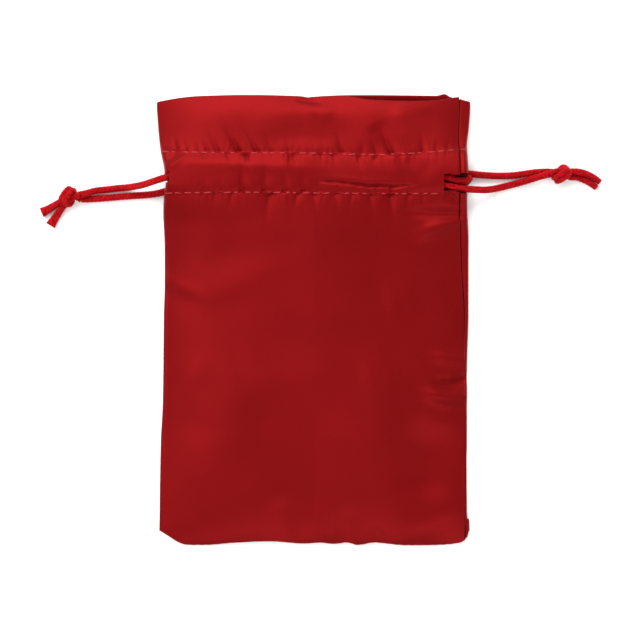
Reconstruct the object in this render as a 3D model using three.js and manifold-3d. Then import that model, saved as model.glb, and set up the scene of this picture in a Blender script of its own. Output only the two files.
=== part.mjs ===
// Drawstring dice bag: a satin pouch lying on its back panel, mouth towards +Y, front panel up (+Z).
// Two cords run through the channels below the header. Each goes in and out at its own side of the
// bag, passes once round the far side, and has its two ends tied in a knot.
// Millimetres. The origin is the middle of the bag's underside.
import * as THREE from "three";
import { mergeVertices } from "three/addons/utils/BufferGeometryUtils.js";
import Module from "manifold-3d";

// --- Driving dimensions -------------------------------------------------------------------------
const bagLength = 146.6; // from the bottom seam to the mouth
const halfWidth = 49.4; // at the middle of the bag
const cornerFlare = 1.9; // how much further out each side lies at the mouth and at the bottom
const headerLength = 19.1; // ruffled header, from the mouth to the upper stitch row
const channelLength = 13.1; // between the two stitch rows
const hemAllowance = 4.0; // turned-in cloth below the lower stitch row
const cloth = 0.6; // one ply of satin
const tunnelHeight = 3.0; // room for the cords inside a channel
const seamGap = 1.1; // between the two panels' side edges, where the seam thread lies
const grooveDepth = 0.9; // how far a stitch row pulls the cloth in
const cordDiameter = 2.3;
const threadDiameter = 0.4;
const seamInset = 1.2; // from the cloth's edge to the seam thread
const channelEdgeHeight = 11.2; // of the front channel's top above the surface, at the slits
const channelCrown = 13.0; // and at the middle of the bag, with room for dice to pass below it

// --- Worked-out places --------------------------------------------------------------------------
const mouthY = bagLength / 2;
const bottomY = -mouthY;
const upperRowY = mouthY - headerLength;
const lowerRowY = upperRowY - channelLength;
const doubledCloth = 2 * cloth;
const channelStack = 2 * cloth + tunnelHeight;
const edgeHeight = doubledCloth + seamGap;
const headerEdgeHeight = 2 * doubledCloth + seamGap;
const tunnelCentre = channelStack / 2; // below a channel's outer surface
const cordRadius = cordDiameter / 2;
const threadRadius = threadDiameter / 2;
const rowHalfGroove = 0.5; // flat floor of a groove, each side of its stitch row
const rowOuterRamp = 1.0; // where the groove ends, away from the channel
const rowInnerRamp = 1.8; // where the channel reaches its full height

// Height of the front panel's outer surface, from the bottom seam to the mouth: at the sides, at the crown.
const frontHeights = [
  [bottomY, edgeHeight, edgeHeight],
  [-70, edgeHeight, 4.6],
  [-65, edgeHeight, 6.8],
  [-57, edgeHeight, 8.8],
  [-46, edgeHeight, 9.9],
  [-28, edgeHeight, 10.7],
  [-5, edgeHeight, 11.0],
  [20, edgeHeight, 11.1],
  [lowerRowY - hemAllowance - 3.4, edgeHeight, 11.4],
  [lowerRowY - rowHalfGroove, 8.8, 12.4],
  [lowerRowY + rowInnerRamp, channelEdgeHeight, channelCrown],
  [upperRowY - rowInnerRamp, channelEdgeHeight, channelCrown],
  [upperRowY + rowHalfGroove, 10.0, 12.5],
  [upperRowY + 7.8, 5.6, 11.6],
  [mouthY, headerEdgeHeight, 10.8],
];

// Each panel's section along the bag: how far its outer face is pulled in, and its thickness.
const panelSection = [
  [bottomY, 0, cloth],
  [lowerRowY - hemAllowance - 0.6, 0, cloth],
  [lowerRowY - hemAllowance, 0, doubledCloth],
  [lowerRowY - rowOuterRamp, 0, doubledCloth],
  [lowerRowY - rowHalfGroove, grooveDepth, doubledCloth],
  [lowerRowY + rowHalfGroove, grooveDepth, doubledCloth],
  [lowerRowY + rowInnerRamp, 0, channelStack],
  [upperRowY - rowInnerRamp, 0, channelStack],
  [upperRowY - rowHalfGroove, grooveDepth, doubledCloth],
  [upperRowY + rowHalfGroove, grooveDepth, doubledCloth],
  [upperRowY + rowOuterRamp, 0, doubledCloth],
  [mouthY, 0, doubledCloth],
];

// A channel's hollow: from its pointed lower side to its pointed upper side, half its height there.
const tunnelTip = 0.05;
const tunnelSection = [
  [lowerRowY + 1.0, tunnelTip],
  [lowerRowY + 1.7, tunnelHeight / 2],
  [upperRowY - 1.7, tunnelHeight / 2],
  [upperRowY - 1.0, tunnelTip],
];

// The openings at the ends of the channels: which panel, how far out they start, and their ends along Y.
const slits = {
  frontLeft: { fromX: -44.4, lowY: 42.2, highY: 50.2 },
  backLeft: { fromX: -44.4, lowY: 40.2, highY: 50.2 },
  frontRight: { fromX: 42.4, lowY: 40.5, highY: 48.1 },
  backRight: { fromX: 48.2, lowY: 43.0, highY: 50.2 },
};

// --- Materials ----------------------------------------------------------------------------------
const satin = new THREE.MeshStandardMaterial({ color: 0x9c1418, roughness: 0.42, metalness: 0 });
const cordSatin = new THREE.MeshStandardMaterial({ color: 0xa8121c, roughness: 0.38, metalness: 0 });
const thread = new THREE.MeshStandardMaterial({ color: 0xb5383c, roughness: 0.55, metalness: 0 });

// --- Joining and cutting ------------------------------------------------------------------------
const wasm = await Module();
wasm.setup();

function toSolid(geometry) {
  const bare = geometry.index ? geometry.toNonIndexed() : geometry.clone();
  bare.deleteAttribute("normal");
  bare.deleteAttribute("uv");
  const merged = mergeVertices(bare, 1e-4);
  return new wasm.Manifold(
    new wasm.Mesh({
      numProp: 3,
      vertProperties: merged.attributes.position.array,
      triVerts: new Uint32Array(merged.index.array),
    }),
  );
}

function toGeometry(solid) {
  const made = solid.getMesh();
  const geometry = new THREE.BufferGeometry();
  geometry.setAttribute("position", new THREE.BufferAttribute(made.vertProperties, 3));
  geometry.setIndex(new THREE.BufferAttribute(made.triVerts, 1));
  geometry.computeVertexNormals();
  return geometry;
}

function boxSolid([lowX, lowY, lowZ], [highX, highY, highZ]) {
  const box = new THREE.BoxGeometry(highX - lowX, highY - lowY, highZ - lowZ);
  box.translate((lowX + highX) / 2, (lowY + highY) / 2, (lowZ + highZ) / 2);
  return toSolid(box);
}

// --- The bag's shape ----------------------------------------------------------------------------
// Value of one column of a table at y, in straight lines between its rows.
function alongBag(table, column, y) {
  const last = table.length - 1;
  if (y <= table[0][0]) return table[0][column];
  if (y >= table[last][0]) return table[last][column];
  const next = table.findIndex((row) => row[0] > y);
  const [low, high] = [table[next - 1], table[next]];
  const share = (y - low[0]) / (high[0] - low[0]);
  return low[column] + share * (high[column] - low[column]);
}

function sideX(y) {
  return halfWidth + cornerFlare * (y / mouthY) ** 4;
}

// The front panel's outer surface arches from one side to the other.
function frontSurface(x, y) {
  const edge = alongBag(frontHeights, 1, y);
  const crown = alongBag(frontHeights, 2, y);
  return edge + (crown - edge) * (1 - (x / sideX(y)) ** 4);
}

const pulledIn = (y) => alongBag(panelSection, 1, y);
const thickness = (y) => alongBag(panelSection, 2, y);
const columns = [-1, -0.95, -0.87, -0.75, -0.6, -0.4, -0.2, 0, 0.2, 0.4, 0.6, 0.75, 0.87, 0.95, 1];

// A closed solid between two height functions, over the bag's outline scaled by reach.
function layerGeometry(stations, lowFace, highFace, reach = 1) {
  const positions = [];
  const triangles = [];
  const wide = columns.length;
  for (const face of [lowFace, highFace])
    for (const y of stations)
      for (const u of columns) {
        const x = u * reach * sideX(y);
        positions.push(x, y, face(x, y));
      }
  const upper = stations.length * wide;
  const quad = (a, b, c, d) => triangles.push(a, b, c, a, c, d);
  for (let j = 0; j + 1 < stations.length; j++) {
    for (let i = 0; i + 1 < wide; i++) {
      const a = j * wide + i;
      quad(a, a + wide, a + wide + 1, a + 1);
      quad(upper + a, upper + a + 1, upper + a + wide + 1, upper + a + wide);
    }
    const left = j * wide;
    const right = left + wide - 1;
    quad(left, upper + left, upper + left + wide, left + wide);
    quad(right, right + wide, upper + right + wide, upper + right);
  }
  const lastRow = (stations.length - 1) * wide;
  for (let i = 0; i + 1 < wide; i++) {
    quad(i, i + 1, upper + i + 1, upper + i);
    const far = lastRow + i;
    quad(far, upper + far, upper + far + 1, far + 1);
  }
  const geometry = new THREE.BufferGeometry();
  geometry.setAttribute("position", new THREE.Float32BufferAttribute(positions, 3));
  geometry.setIndex(triangles);
  return geometry;
}

const stationsOf = (...tables) =>
  [...new Set(tables.flat().map((row) => row[0]))].sort((a, b) => a - b);

// --- Panels -------------------------------------------------------------------------------------
// A panel is one ply below the hem. Above it the mouth edge is turned in and sewn down twice, which
// leaves the channel between the stitch rows and the doubled header above them.
function panel(stations, lowFace, highFace, middleOfChannel, cuts) {
  let made = toSolid(layerGeometry(stations, lowFace, highFace));
  const half = (y) => alongBag(tunnelSection, 1, y);
  const hollow = layerGeometry(
    stationsOf(tunnelSection),
    (x, y) => middleOfChannel(x, y) - half(y),
    (x, y) => middleOfChannel(x, y) + half(y),
    1.05,
  );
  made = made.subtract(toSolid(hollow));
  const outside = 60;
  for (const { fromX, lowY, highY } of cuts) {
    const lowX = fromX < 0 ? -outside : fromX;
    const highX = fromX < 0 ? fromX : outside;
    made = made.subtract(boxSolid([lowX, lowY, -1], [highX, highY, 20]));
  }
  return toGeometry(made);
}

const backPanel = panel(
  stationsOf(panelSection),
  (x, y) => pulledIn(y),
  (x, y) => pulledIn(y) + thickness(y),
  () => tunnelCentre,
  [slits.backLeft, slits.backRight],
);

const frontPanel = panel(
  stationsOf(frontHeights, panelSection),
  (x, y) => frontSurface(x, y) - pulledIn(y) - thickness(y),
  (x, y) => frontSurface(x, y) - pulledIn(y),
  (x) => frontSurface(x, (lowerRowY + upperRowY) / 2) - tunnelCentre,
  [slits.frontLeft, slits.frontRight],
);

// --- Threads and cords --------------------------------------------------------------------------
function roundSection(radius, sides) {
  const section = new THREE.Shape();
  for (let i = 0; i < sides; i++) {
    const angle = (2 * Math.PI * (i + 0.5)) / sides;
    const [x, y] = [radius * Math.cos(angle), radius * Math.sin(angle)];
    if (i === 0) section.moveTo(x, y);
    else section.lineTo(x, y);
  }
  section.closePath();
  return section;
}

function tube(points, radius, sides, steps) {
  const path = new THREE.CatmullRomCurve3(points.map((p) => new THREE.Vector3(...p)));
  return new THREE.ExtrudeGeometry(roundSection(radius, sides), { steps, extrudePath: path });
}

const threadSides = 6;
const cordSides = 8;
const threadAboveGroove = 0.3 + threadRadius; // clear of the groove's floor

// A stitch row lies in its groove, from side to side of the panel, short of the slits.
function stitchRow(y, heightAt) {
  const points = [];
  const stops = 12;
  const reach = sideX(y) - 2;
  for (let i = 0; i <= stops; i++) {
    const x = reach * ((2 * i) / stops - 1);
    points.push([x, y, heightAt(x, y)]);
  }
  return tube(points, threadRadius, threadSides, 16);
}

const onFront = (x, y) => frontSurface(x, y) - grooveDepth + threadAboveGroove;
const onBack = () => grooveDepth - threadAboveGroove;

// The seam closes the sides below the slits and the bottom, between the two panels.
function seamThread() {
  const between = cloth + seamGap / 2;
  const bottom = bottomY + seamInset;
  const side = (y) => sideX(y) - seamInset;
  const right = [
    [side(39), 39, 1.9],
    [side(34), 34, 1.3],
    [side(28), 28, between],
    [side(0), 0, between],
    [side(-40), -40, between],
    [side(-66), -66, between],
    [side(bottom) - 0.5, bottom + 3, between],
    [side(bottom) - 3.5, bottom, between],
    [30, bottom, between],
  ];
  const left = right.map(([x, y, z]) => [-x, y, z]).reverse();
  return tube([...right, [0, bottom, between], ...left], threadRadius, threadSides, 72);
}

function headerSeamThread(side) {
  const low = upperRowY + 2;
  const high = mouthY - 1;
  const points = [low, (low + high) / 2, high].map((y) => [
    side * (sideX(y) - seamInset),
    y,
    doubledCloth + seamGap / 2,
  ]);
  return tube(points, threadRadius, threadSides, 4);
}

// Joins stretches of one cord that follow each other into one solid.
function cordSolid(stretches) {
  const overlap = (points, steps) => toSolid(tube(points, cordRadius, cordSides, steps));
  const solids = stretches.map(({ points, steps }) => overlap(points, steps));
  return solids.reduce((whole, next) => whole.add(next));
}

const frontLaneZ = (x) =>
  frontSurface(x, (lowerRowY + upperRowY) / 2) - tunnelCentre;

function frontLane(y, stops) {
  return stops.map((x) => [x, y, frontLaneZ(x)]);
}

// Left cord: out of the front channel's upper lane, and back through the back channel's lower lane.
const leftFrontStrand = [
  [-76.7, 41.2, 4.1],
  [-74.5, 41.8, 3.1],
  [-71.6, 42.7, 1.6],
  [-68, 43.1, 1.2],
  [-64.6, 43.5, 1.25],
  [-61.6, 43.7, 2.0],
  [-58.6, 44.0, 3.6],
  [-55.4, 44.5, 5.8],
  [-52.0, 45.4, 7.9],
  [-48.9, 46.3, 9.1],
  [-46.4, 46.8, 9.65],
  [-44.2, 46.8, frontLaneZ(-44.2)],
];
const leftFarLoop = [
  [42.2, 46.8, frontLaneZ(42.2)],
  [44.6, 46.2, 9.2],
  [47.5, 45.5, 7.9],
  [49.8, 45.7, 6.3],
  [51.1, 46.5, 4.7],
  [50.8, 45.8, 3.1],
  [49.2, 44.7, 2.2],
  [46.5, 44.1, 2.1],
];
const leftBackStrand = [
  [-44, 43.95, 2.1],
  [-46, 43.5, 2.1],
  [-48.7, 42.5, 1.9],
  [-52, 41.7, 1.5],
  [-55.5, 41.3, 1.2],
  [-59, 41.05, 1.2],
  [-62.8, 40.8, 1.2],
  [-67.2, 40.4, 1.2],
  [-71.6, 40.1, 1.2],
  [-74.2, 39.95, 1.35],
  [-76.7, 39.9, 1.7],
];
const leftCord = cordSolid([
  { points: leftFrontStrand, steps: 12 },
  { points: frontLane(46.8, [-44.2, -36, -26, -12, 0, 12, 26, 36, 42.2]), steps: 16 },
  { points: leftFarLoop, steps: 12 },
  { points: [[46.5, 44.1, 2.1], [42, 43.95, 2.1], [0, 43.95, 2.1], [-44, 43.95, 2.1]], steps: 12 },
  { points: leftBackStrand, steps: 9 },
]);

// Right cord: out of the front channel's lower lane, and back through the back channel's upper lane.
const rightFrontStrand = [
  [77.4, 47.9, 4.4],
  [74.5, 47.2, 3.5],
  [71.5, 46.3, 2.5],
  [68.3, 45.4, 1.6],
  [65.5, 44.7, 1.2],
  [62.8, 44.0, 1.25],
  [59.8, 43.3, 1.9],
  [56.6, 42.8, 3.4],
  [53.0, 42.5, 5.3],
  [49.3, 42.5, 7.2],
  [45.6, 43.1, 8.9],
  [42.2, 43.95, frontLaneZ(42.2)],
];
const rightFarLoop = [
  [-44.2, 43.95, frontLaneZ(-44.2)],
  [-46.2, 44.4, 8.6],
  [-47.7, 45.3, 6.5],
  [-48.2, 46.6, 4.4],
  [-47.4, 47.8, 2.8],
  [-45.2, 48.3, 2.1],
];
const rightBackStrand = [
  [46, 48.3, 2.1],
  [51, 48.25, 1.9],
  [55, 47.9, 1.4],
  [60.8, 47.6, 1.2],
  [66.4, 47.8, 1.2],
  [70, 48.3, 1.2],
  [73.4, 48.75, 1.3],
  [77.4, 48.9, 1.6],
];
const rightCord = cordSolid([
  { points: rightFrontStrand, steps: 13 },
  { points: frontLane(43.95, [42.2, 36, 26, 12, 0, -12, -26, -36, -44.2]), steps: 16 },
  { points: rightFarLoop, steps: 10 },
  { points: [[-45.2, 48.3, 2.1], [-40, 48.3, 2.1], [0, 48.3, 2.1], [46, 48.3, 2.1]], steps: 12 },
  { points: rightBackStrand, steps: 9 },
]);

// --- Knots --------------------------------------------------------------------------------------
// A round knot, turned about Z so that its long axis follows the cord, with its two tails.
const knotHalfHeight = 3.1;

function knot(centre, halfLength, halfDepth, tails) {
  const outline = [];
  const stops = 8;
  for (let i = 0; i <= stops; i++) {
    const angle = Math.PI * (i / stops - 0.5);
    outline.push(new THREE.Vector2(i % stops ? Math.cos(angle) : 0, Math.sin(angle)));
  }
  const ball = new THREE.LatheGeometry(outline, 14);
  ball.scale(halfLength, halfDepth, knotHalfHeight);
  ball.translate(...centre);
  const pieces = tails.map((points) => toSolid(tube(points, cordRadius, cordSides, 6)));
  return toGeometry(pieces.reduce((whole, tail) => whole.add(tail), toSolid(ball)));
}

const leftKnot = knot([-80.8, 40.3, 3.2], 3.7, 3.3, [
  [[-82.5, 39.4, 2.6], [-85.5, 37.8, 1.8], [-87.7, 36.5, 1.3], [-89.8, 35.5, 1.2]],
  [[-81.8, 38.6, 2.4], [-83.5, 36.4, 1.5], [-85.3, 33.8, 1.2], [-86.9, 31.2, 1.2]],
]);

const rightKnot = knot([81.8, 48.2, 3.2], 3.9, 3.3, [
  [[84.2, 47.3, 2.6], [87.5, 46.7, 1.6], [91.0, 45.7, 1.2], [93.6, 43.6, 1.2]],
  [[84.4, 48.9, 3.0], [87.8, 49.1, 2.0], [91.4, 48.1, 1.4], [94.9, 45.6, 1.2]],
]);

// --- Scene graph --------------------------------------------------------------------------------
function named(name, geometry, material) {
  const mesh = new THREE.Mesh(geometry, material);
  mesh.name = name;
  return mesh;
}

const bag = new THREE.Group();
bag.add(
  named("front_panel", frontPanel, satin),
  named("back_panel", backPanel, satin),
  named("front_upper_stitching", stitchRow(upperRowY, onFront), thread),
  named("front_lower_stitching", stitchRow(lowerRowY, onFront), thread),
  named("back_upper_stitching", stitchRow(upperRowY, onBack), thread),
  named("back_lower_stitching", stitchRow(lowerRowY, onBack), thread),
  named("seam_thread", seamThread(), thread),
  named("left_header_seam_thread", headerSeamThread(-1), thread),
  named("right_header_seam_thread", headerSeamThread(1), thread),
);

const leftDrawstring = new THREE.Group();
leftDrawstring.add(
  named("left_cord", toGeometry(leftCord), cordSatin),
  named("left_knot", leftKnot, cordSatin),
);

const rightDrawstring = new THREE.Group();
rightDrawstring.add(
  named("right_cord", toGeometry(rightCord), cordSatin),
  named("right_knot", rightKnot, cordSatin),
);

const diceBag = new THREE.Group();
diceBag.add(bag, leftDrawstring, rightDrawstring);

export default diceBag;
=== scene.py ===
import math

import bpy
import numpy as np
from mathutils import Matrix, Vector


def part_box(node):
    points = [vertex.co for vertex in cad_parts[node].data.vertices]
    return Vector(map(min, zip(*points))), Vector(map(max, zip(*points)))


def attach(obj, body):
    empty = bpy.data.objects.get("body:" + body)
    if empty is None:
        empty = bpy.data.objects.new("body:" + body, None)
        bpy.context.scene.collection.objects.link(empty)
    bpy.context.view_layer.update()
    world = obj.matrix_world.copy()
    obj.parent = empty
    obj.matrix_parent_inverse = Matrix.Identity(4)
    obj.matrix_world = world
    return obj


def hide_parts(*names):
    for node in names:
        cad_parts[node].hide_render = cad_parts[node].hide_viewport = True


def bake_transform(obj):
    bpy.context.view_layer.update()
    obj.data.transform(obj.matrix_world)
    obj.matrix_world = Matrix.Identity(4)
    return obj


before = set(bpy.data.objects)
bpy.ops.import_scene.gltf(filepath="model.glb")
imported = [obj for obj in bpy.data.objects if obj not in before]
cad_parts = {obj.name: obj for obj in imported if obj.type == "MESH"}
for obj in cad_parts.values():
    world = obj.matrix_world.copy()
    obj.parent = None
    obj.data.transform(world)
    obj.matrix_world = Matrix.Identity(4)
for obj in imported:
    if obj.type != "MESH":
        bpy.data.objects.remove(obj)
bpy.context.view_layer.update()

# A drawstring dice bag: a flat satin pouch lying on its back panel, with a doubled header, a sewn
# cord channel and two knotted cords. Lengths are in millimetres until a mesh or an object is made.
# X runs across the bag, Y from the bottom seam to the mouth, Z up.
MM = 0.001


def middle(node):
    """The middle of a CAD node's box, in millimetres."""
    low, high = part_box(node)
    return (np.array(low) + np.array(high)) / 2 / MM


def hermite(t, gap, start, end, lean, next_lean):
    """Smooth steps from start to end with a lean at each; t goes from 0 to 1 across a gap."""
    return (
        (2 * t**3 - 3 * t**2 + 1) * start
        + (t**3 - 2 * t**2 + t) * gap * lean
        + (3 * t**2 - 2 * t**3) * end
        + (t**3 - t**2) * gap * next_lean
    )


def curve(table, at):
    """The values at some places on smooth curves through a table's rows (place, value, value ...)."""
    table = np.array(table, float)
    place, value = table[:, 0], table[:, 1:]
    gap = np.diff(place)[:, None]
    slope = np.diff(value, axis=0) / gap
    level = slope[:-1] * slope[1:] <= 0
    total = np.where(level, 1.0, slope[:-1] + slope[1:])
    lean = np.concatenate([slope[:1], np.where(level, 0, 2 * slope[:-1] * slope[1:] / total), slope[-1:]])
    at = np.asarray(at, float)
    i = np.clip(np.searchsorted(place, at) - 1, 0, len(place) - 2)
    t = np.clip((at - place[i]) / (place[i + 1] - place[i]), 0, 1)[..., None]
    out = hermite(t, gap[i], value[i], value[i + 1], lean[i], lean[i + 1])
    return out[..., 0] if value.shape[1] == 1 else np.moveaxis(out, -1, 0)


def line_through(points, step):
    """A smooth line through points, with its own points about a step apart."""
    points = np.array(points, float)
    chord = np.linalg.norm(np.diff(points, axis=0), axis=1) ** 0.5
    knot = np.concatenate([[0], np.cumsum(chord)])
    lean = np.zeros_like(points)
    for i in range(1, len(points) - 1):
        before = (points[i] - points[i - 1]) / (knot[i] - knot[i - 1])
        after = (points[i + 1] - points[i]) / (knot[i + 1] - knot[i])
        share = (knot[i] - knot[i - 1]) / (knot[i + 1] - knot[i - 1])
        lean[i] = before * (1 - share) + after * share
    lean[0] = 2 * (points[1] - points[0]) / (knot[1] - knot[0]) - lean[1]
    lean[-1] = 2 * (points[-1] - points[-2]) / (knot[-1] - knot[-2]) - lean[-2]
    fine = []
    t = np.linspace(0, 1, 40, endpoint=False)[:, None]
    for i in range(len(points) - 1):
        fine.append(hermite(t, knot[i + 1] - knot[i], points[i], points[i + 1], lean[i], lean[i + 1]))
    fine = np.concatenate(fine + [points[-1:]])
    along = np.concatenate([[0], np.cumsum(np.linalg.norm(np.diff(fine, axis=0), axis=1))])
    at = np.linspace(0, along[-1], max(2, int(round(along[-1] / step)) + 1))
    return np.stack([np.interp(at, along, fine[:, k]) for k in range(3)], axis=1)


# ---------------------------------------------------------------- camera, light and floor

CAMERA_HEIGHT = 588.5
LENS = 100.0
VIEW_CENTRE_X = 2.13
WORLD_LIGHT = 0.62
FLOOR_REACH = 4.0
FLOOR_GREY = 0.93


def make_camera():
    data = bpy.data.cameras.new("camera")
    data.lens = LENS
    data.clip_start = 0.01
    camera = bpy.data.objects.new("camera", data)
    camera.location = (VIEW_CENTRE_X * MM, 0, CAMERA_HEIGHT * MM)
    bpy.context.scene.collection.objects.link(camera)
    bpy.context.scene.camera = camera


def make_lamp(name, place, target, size, power):
    data = bpy.data.lights.new(name, "AREA")
    data.shape = "RECTANGLE"
    data.size, data.size_y = size
    data.energy = power
    lamp = bpy.data.objects.new(name, data)
    lamp.location = place
    away = Vector(place) - Vector(target)
    lamp.rotation_euler = away.to_track_quat("Z", "Y").to_euler()
    bpy.context.scene.collection.objects.link(lamp)


def make_studio():
    world = bpy.data.worlds.new("studio")
    world.use_nodes = True
    world.node_tree.nodes["Background"].inputs["Color"].default_value = (1, 1, 1, 1)
    world.node_tree.nodes["Background"].inputs["Strength"].default_value = WORLD_LIGHT
    bpy.context.scene.world = world
    make_lamp("top_light", (-0.12, 0.62, 0.55), (0, 0.02, 0), (0.9, 0.45), 9.5)
    make_lamp("overhead_light", (-0.5, 0.12, 0.8), (0, 0, 0), (0.7, 0.7), 4.6)
    make_lamp("low_fill", (0.15, -0.52, 0.5), (0, -0.05, 0), (0.9, 0.3), 3.0)
    bpy.context.scene.view_settings.view_transform = "Standard"
    floor_data = bpy.data.meshes.new("floor")
    corners = [(x * FLOOR_REACH, y * FLOOR_REACH, 0) for x, y in ((-1, -1), (1, -1), (1, 1), (-1, 1))]
    floor_data.from_pydata(corners, [], [(0, 1, 2, 3)])
    floor = bpy.data.objects.new("floor", floor_data)
    bpy.context.scene.collection.objects.link(floor)
    paper = bpy.data.materials.new("floor_paper")
    paper.use_nodes = True
    shader = paper.node_tree.nodes["Principled BSDF"]
    shader.inputs["Base Color"].default_value = (FLOOR_GREY, FLOOR_GREY, FLOOR_GREY, 1)
    shader.inputs["Roughness"].default_value = 0.9
    shader.inputs["Specular IOR Level"].default_value = 0.1
    floor_data.materials.append(paper)


# ---------------------------------------------------------------- materials


WARP_PITCH = 0.24
WEFT_PITCH = 0.31
THREAD_TWIST = 0.42


def new_material(name, colour, roughness):
    material = bpy.data.materials.new(name)
    material.use_nodes = True
    shader = material.node_tree.nodes["Principled BSDF"]
    shader.inputs["Base Color"].default_value = (*colour, 1)
    shader.inputs["Roughness"].default_value = roughness
    return material, shader


class Nodes:
    """Adds and joins the nodes of one material."""

    def __init__(self, material):
        self.tree = material.node_tree

    def add(self, kind, inputs=(), **settings):
        node = self.tree.nodes.new(kind)
        for key, value in settings.items():
            setattr(node, key, value)
        for key, value in dict(inputs).items():
            if isinstance(value, bpy.types.NodeSocket):
                self.tree.links.new(value, node.inputs[key])
            else:
                node.inputs[key].default_value = value
        return node

    def math(self, operation, a, b=0.0):
        return self.add("ShaderNodeMath", {0: a, 1: b}, operation=operation).outputs[0]

    def scaled(self, value, times, plus):
        """A value times one number, plus another."""
        made = self.math("MULTIPLY_ADD", value, times)
        made.node.inputs[2].default_value = plus
        return made

    def both(self, a, a_share, b, b_share):
        """Two values added, each times its own share."""
        return self.math("ADD", self.math("MULTIPLY", a, a_share), self.math("MULTIPLY", b, b_share))

    def noise(self, vector, scale, detail=2.0, roughness=0.5):
        settings = {"Vector": vector, "Scale": scale, "Detail": detail, "Roughness": roughness}
        return self.add("ShaderNodeTexNoise", settings).outputs["Fac"]

    def place(self, scale):
        """The cloth's own coordinates in millimetres, times a scale on each axis."""
        flat = self.add("ShaderNodeTexCoord").outputs["UV"]
        return self.add("ShaderNodeMapping", {"Vector": flat, "Scale": scale}).outputs[0]

    def ridges(self, vector, axis, pitch):
        """Even round ridges across an axis, from 0 to 1."""
        parts = self.add("ShaderNodeSeparateXYZ", {"Vector": vector})
        turn = self.math("MULTIPLY", parts.outputs[axis], 2 * math.pi / pitch)
        return self.scaled(self.math("SINE", turn), 0.5, 0.5)

    def mix(self, share, a, b):
        """A colour between two others. The node's colour sockets are its seventh and eighth."""
        return self.add("ShaderNodeMix", {0: share, 6: a, 7: b}, data_type="RGBA").outputs[2]

    def surface(self, shader, colour, gloss, height, strength, depth, settings):
        """Joins colour, gloss and relief to the shader, and sets its plain values."""
        bump = self.add("ShaderNodeBump", {"Height": height, "Strength": strength, "Distance": depth})
        joined = {"Base Color": colour, "Roughness": gloss, "Normal": bump.outputs["Normal"]}
        for key, value in joined.items():
            self.tree.links.new(value, shader.inputs[key])
        for key, value in settings.items():
            shader.inputs[key].default_value = value


def satin_material(name, light, dark, roughness):
    """Satin: long shiny floats one way, a faint twill step, uneven yarns and a soft coloured sheen."""
    material, shader = new_material(name, light, roughness)
    n = Nodes(material)
    cloth = n.place((1, 1, 1))
    broad = n.noise(cloth, 0.035, 3.0)
    yarns = n.noise(n.place((5.0, 0.22, 1)), 1.0, 3.0, 0.6)
    picks = n.noise(n.place((0.3, 6.0, 1)), 1.0, 2.0, 0.6)
    blend = n.both(broad, 0.75, yarns, 0.27)
    colour = n.mix(blend, (*dark, 1), (*light, 1))
    gloss = n.scaled(yarns, 0.16, roughness - 0.08)
    warp = n.ridges(cloth, "X", WARP_PITCH)
    weft = n.ridges(n.place((0.35, 1, 1)), "Y", WEFT_PITCH)
    height = n.math("ADD", n.both(warp, 0.6, weft, 0.25), n.both(yarns, 0.8, picks, 0.5))
    settings = {
        "Metallic": 0.35, "Anisotropic": 0.35, "Specular IOR Level": 0.07,
        "Specular Tint": (1.0, 0.3, 0.3, 1), "Sheen Weight": 0.03, "Sheen Roughness": 0.38,
        "Sheen Tint": (1.0, 0.25, 0.27, 1),
    }
    n.surface(shader, colour, gloss, height, 0.22, 0.00006, settings)
    return material


def cord_material(name, light, dark):
    """Braided satin cord: shiny yarns crossing round the cord, with painted shade darkening the colour
    between them, and painted highlight and shade in soft patches along it for the satin's shimmer.
    """
    material, shader = new_material(name, light, 0.42)
    n = Nodes(material)
    cord = n.place((1, 1, 1))
    parts = n.add("ShaderNodeSeparateXYZ", {"Vector": cord})
    carriers = BRAID_CARRIERS / 2
    turn = n.math("MULTIPLY", parts.outputs["X"], carriers * 2 / CORD_DIAMETER)
    far = n.math("MULTIPLY", parts.outputs["Y"], carriers * 2 * math.pi / BRAID_PITCH)
    left, right = n.math("ADD", turn, far), n.math("SUBTRACT", turn, far)
    strands = n.math("MAXIMUM", n.math("COSINE", left), n.math("COSINE", right))
    yarns = n.math(
        "MAXIMUM",
        n.math("SINE", n.math("MULTIPLY", left, YARNS_PER_CARRIER)),
        n.math("SINE", n.math("MULTIPLY", right, YARNS_PER_CARRIER)),
    )
    # Painted shimmer: this noise makes the colour lighter and darker in patches along the cord, standing in
    # for the satin's changing highlights. It also varies the gloss.
    shimmer_noise = n.noise(cord, 1.1, 3.0, 0.6)
    # Painted shade: the colour darkens between the braid's carriers and between their yarns, where shade
    # falls in the grooves.
    share = n.math("ADD", n.scaled(strands, 0.1, -0.09), n.math("MULTIPLY", yarns, 0.3))
    painted_shimmer = n.scaled(shimmer_noise, 1.7, -0.36)
    colour = n.mix(n.math("ADD", share, painted_shimmer), (*dark, 1), (*light, 1))
    gloss = n.scaled(shimmer_noise, 0.25, 0.22)
    height = n.math("ADD", yarns, n.noise(cord, 9.0, 2.0, 0.6))
    settings = {
        "Metallic": 0.5, "Specular IOR Level": 0.06, "Specular Tint": (1.0, 0.35, 0.38, 1),
        "Sheen Weight": 0.025, "Sheen Roughness": 0.35, "Sheen Tint": (1.0, 0.4, 0.42, 1),
    }
    n.surface(shader, colour, gloss, height, 0.8, 0.00012, settings)
    return material


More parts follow.
